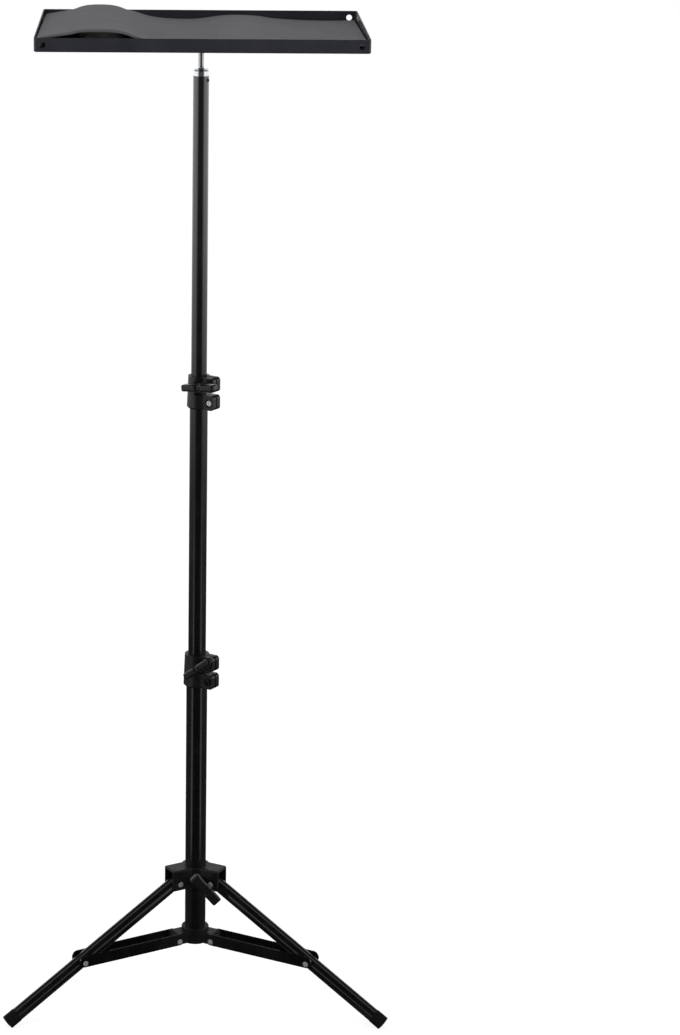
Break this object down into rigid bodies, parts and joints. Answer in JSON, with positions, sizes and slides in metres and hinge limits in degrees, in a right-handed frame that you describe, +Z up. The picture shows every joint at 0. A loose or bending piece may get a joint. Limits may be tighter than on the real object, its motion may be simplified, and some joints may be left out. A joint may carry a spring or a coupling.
{
  "type": "projector stand",
  "caption": "Portable projector stand: a shallow lipped tray with a loose mat on a telescoping tube column, clamped by wing knobs, over a tripod of folding legs with stays.",
  "frame": {"origin": "on the floor, on the axis of the column", "axes": "+Z up along the column, +X to the right along the tray's long side, +Y to the back along the third leg"},
  "size_m": [0.4752, 0.4138, 1.2277],
  "materials": {
    "black_tube": "gloss",
    "black_plastic": "satin",
    "tray_black": "fine texture",
    "mat_grey": "matte",
    "chrome": "polished",
    "zinc_steel": "bright zinc",
    "black_steel": "black oxide",
    "foot_rubber": "matte"
  },
  "bodies": {
    "base": {"lower_tube": "black_tube", "foot_bracket": "black_plastic", "left_bracket_pin": "zinc_steel", "right_bracket_pin": "zinc_steel", "back_bracket_pin": "zinc_steel", "lower_clamp": "black_plastic", "lower_clamp_screw": "zinc_steel"},
    "hub": {"leg_hub": "black_plastic", "left_hub_pin": "zinc_steel", "right_hub_pin": "zinc_steel", "back_hub_pin": "zinc_steel"},
    "left_leg": {"left_leg": "black_tube", "left_foot": "foot_rubber"},
    "left_stay": {"left_stay_bar_a": "black_tube", "left_stay_bar_b": "black_tube", "left_stay_rivet_a": "zinc_steel", "left_stay_rivet_b": "zinc_steel"},
    "right_leg": {"right_leg": "black_tube", "right_foot": "foot_rubber"},
    "right_stay": {"right_stay_bar_a": "black_tube", "right_stay_bar_b": "black_tube", "right_stay_rivet_a": "zinc_steel", "right_stay_rivet_b": "zinc_steel"},
    "back_leg": {"back_leg": "black_tube", "back_foot": "foot_rubber"},
    "back_stay": {"back_stay_bar_a": "black_tube", "back_stay_bar_b": "black_tube", "back_stay_rivet_a": "zinc_steel", "back_stay_rivet_b": "zinc_steel"},
    "middle": {"middle_tube": "black_tube", "upper_clamp": "black_plastic", "upper_clamp_screw": "zinc_steel"},
    "top": {"top_tube": "black_tube", "spigot": "chrome", "spigot_screw": "black_steel"},
    "tray": {"tray_pan": "tray_black", "tray_flange": "tray_black", "tray_mat": "mat_grey"},
    "lower_knob": {"lower_knob": "black_plastic", "lower_knob_screw": "zinc_steel"},
    "upper_knob": {"upper_knob": "black_plastic", "upper_knob_screw": "zinc_steel"},
    "hub_knob": {"hub_knob": "black_plastic", "hub_knob_screw": "zinc_steel"}
  },
  "joints": [
    {"name": "middle_section_slide", "type": "slide", "parent": "base", "child": "middle", "axis": [0, 0, -1], "range_m": [0, 0.3]},
    {"name": "top_section_slide", "type": "slide", "parent": "middle", "child": "top", "axis": [0, 0, -1], "range_m": [0, 0.34]},
    {"name": "hub_slide", "type": "slide", "parent": "base", "child": "hub", "axis": [0, 0, 1], "range_m": [0, 0.2137]},
    {"name": "left_leg_fold", "type": "hinge", "parent": "hub", "child": "left_leg", "pos_m": [-0.02468, -0.01425, 0.14455], "axis": [0.5, -0.866, 0], "range_deg": [0, 60]},
    {"name": "left_stay_fold", "type": "hinge", "parent": "base", "child": "left_stay", "pos_m": [-0.02468, -0.01425, 0.06632], "axis": [-0.5, 0.866, 0], "range_deg": [0, 90]},
    {"name": "right_leg_fold", "type": "hinge", "parent": "hub", "child": "right_leg", "pos_m": [0.02468, -0.01425, 0.14455], "axis": [0.5, 0.866, 0], "range_deg": [0, 60]},
    {"name": "right_stay_fold", "type": "hinge", "parent": "base", "child": "right_stay", "pos_m": [0.02468, -0.01425, 0.06632], "axis": [-0.5, -0.866, 0], "range_deg": [0, 90]},
    {"name": "back_leg_fold", "type": "hinge", "parent": "hub", "child": "back_leg", "pos_m": [0, 0.0285, 0.14455], "axis": [-1, 0, 0], "range_deg": [0, 60]},
    {"name": "back_stay_fold", "type": "hinge", "parent": "base", "child": "back_stay", "pos_m": [0, 0.0285, 0.06632], "axis": [1, 0, 0], "range_deg": [0, 90]},
    {"name": "tray_swivel", "type": "hinge", "parent": "top", "child": "tray", "pos_m": [0, 0, 1.20092], "axis": [0, 0, 1], "continuous": true},
    {"name": "lower_knob_turn", "type": "hinge", "parent": "base", "child": "lower_knob", "pos_m": [0.01769, -0.01239, 0.43512], "axis": [-0.5736, -0.8192, 0], "continuous": true},
    {"name": "upper_knob_turn", "type": "hinge", "parent": "middle", "child": "upper_knob", "pos_m": [0.01597, -0.01119, 0.78842], "axis": [-0.5736, -0.8192, 0], "continuous": true},
    {"name": "hub_knob_turn", "type": "hinge", "parent": "hub", "child": "hub_knob", "pos_m": [0.00673, -0.02511, 0.14655], "axis": [0.2588, -0.9659, 0], "continuous": true}
  ],
  "couplings": [
    {"joint": "left_leg_fold", "follows": "hub_slide", "rad_per_m": 4.8987},
    {"joint": "left_stay_fold", "follows": "hub_slide", "rad_per_m": 7.348},
    {"joint": "right_leg_fold", "follows": "hub_slide", "rad_per_m": 4.8987},
    {"joint": "right_stay_fold", "follows": "hub_slide", "rad_per_m": 7.348},
    {"joint": "back_leg_fold", "follows": "hub_slide", "rad_per_m": 4.8987},
    {"joint": "back_stay_fold", "follows": "hub_slide", "rad_per_m": 7.348}
  ]
}
